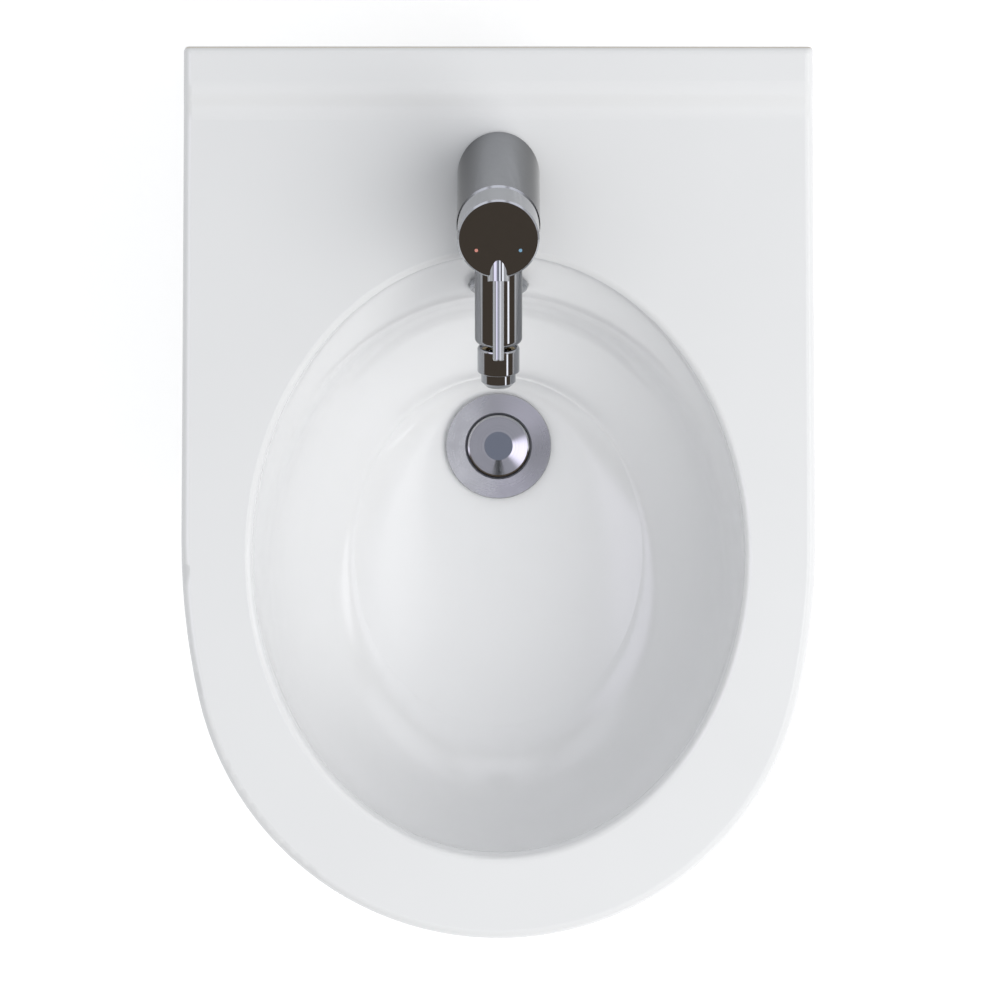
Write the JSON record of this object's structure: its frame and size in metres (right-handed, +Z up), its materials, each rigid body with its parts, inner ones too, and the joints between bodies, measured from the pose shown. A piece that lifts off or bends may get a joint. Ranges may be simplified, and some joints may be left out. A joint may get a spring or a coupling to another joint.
{
  "type": "wall hung bidet",
  "caption": "Wall hung bidet: D-shaped glazed body with a raised rear strip and oval bowl, leaning single-lever mixer with swivel nozzle, push-open waste and hidden side fixings.",
  "frame": {"origin": "on the wall plane, midway between the two wall stud holes and at their height", "axes": "+Z up, +Y into the wall, -Y towards the user, +X to the right seen from the front"},
  "size_m": [0.3704, 0.5199, 0.4097],
  "materials": {
    "glazed_ceramic": "white gloss glaze",
    "chrome": "polished chrome plate on brass",
    "brushed_steel": "circular brushed",
    "zinc": "zinc-plated steel",
    "brass": "turned brass",
    "rubber": "matt black",
    "nylon": "moulded, matt",
    "alumina": "lapped",
    "grey_plastic": "translucent grey",
    "red_enamel": "gloss",
    "blue_enamel": "gloss"
  },
  "bodies": {
    "fixed": {"ceramic_body": "glazed_ceramic", "overflow_ring": "chrome", "fixing_barrels": "zinc", "side_screws": "zinc", "side_washers": "nylon", "side_caps": "chrome", "mixer_body": "chrome", "base_gasket": "rubber", "mounting_stud": "zinc", "horseshoe_gasket": "rubber", "horseshoe_plate": "zinc", "stud_nut": "brass", "cartridge_seal": "rubber", "cartridge_housing": "nylon", "fixed_disc": "alumina", "cartridge_nut": "brass", "ball_retainer": "brass", "seat_gasket": "rubber", "waste_body": "brushed_steel", "plug_latch": "nylon", "lower_gasket": "rubber", "slip_washer": "nylon", "waste_back_nut": "brass"},
    "rotor": {"cartridge_rotor": "nylon", "cartridge_axle_pin": "zinc"},
    "handle": {"lever_stem": "zinc", "handle_cap": "chrome", "lever_pin": "chrome", "hot_dot": "red_enamel", "cold_dot": "blue_enamel", "handle_grub_screw": "zinc"},
    "sliding_disc": {"moving_disc": "alumina", "disc_carrier": "nylon"},
    "slip_ring": {"slip_ring": "nylon"},
    "nozzle": {"swivel_ball": "chrome", "swivel_collar": "chrome", "aerator_nozzle": "chrome", "aerator_insert": "grey_plastic"},
    "plug": {"waste_plug": "chrome", "plug_seal": "rubber", "plug_stem": "zinc"}
  },
  "joints": [
    {"name": "handle_temperature", "type": "hinge", "parent": "fixed", "child": "rotor", "pos_m": [0, -0.10106, 0.1566], "axis": [0, -0.342, 0.9397], "range_deg": [-45, 45]},
    {"name": "handle_flow", "type": "hinge", "parent": "rotor", "child": "handle", "pos_m": [0, -0.10106, 0.1566], "axis": [-1, 0, 0], "range_deg": [0, 25]},
    {"name": "disc_slide", "type": "slide", "parent": "rotor", "child": "sliding_disc", "axis": [0, -0.9397, -0.342], "range_m": [0, 0.0047]},
    {"name": "nozzle_spin", "type": "hinge", "parent": "fixed", "child": "slip_ring", "pos_m": [0, -0.16614, 0.10372], "axis": [0, -0.9511, -0.309], "continuous": true},
    {"name": "nozzle_tilt", "type": "hinge", "parent": "slip_ring", "child": "nozzle", "pos_m": [0, -0.16614, 0.10372], "axis": [1, 0, 0], "range_deg": [-10, 10]},
    {"name": "plug_lift", "type": "slide", "parent": "fixed", "child": "plug", "axis": [0, 0, 1], "range_m": [0, 0.008]}
  ],
  "couplings": [
    {"joint": "disc_slide", "follows": "handle_flow", "m_per_rad": 0.0105}
  ]
}
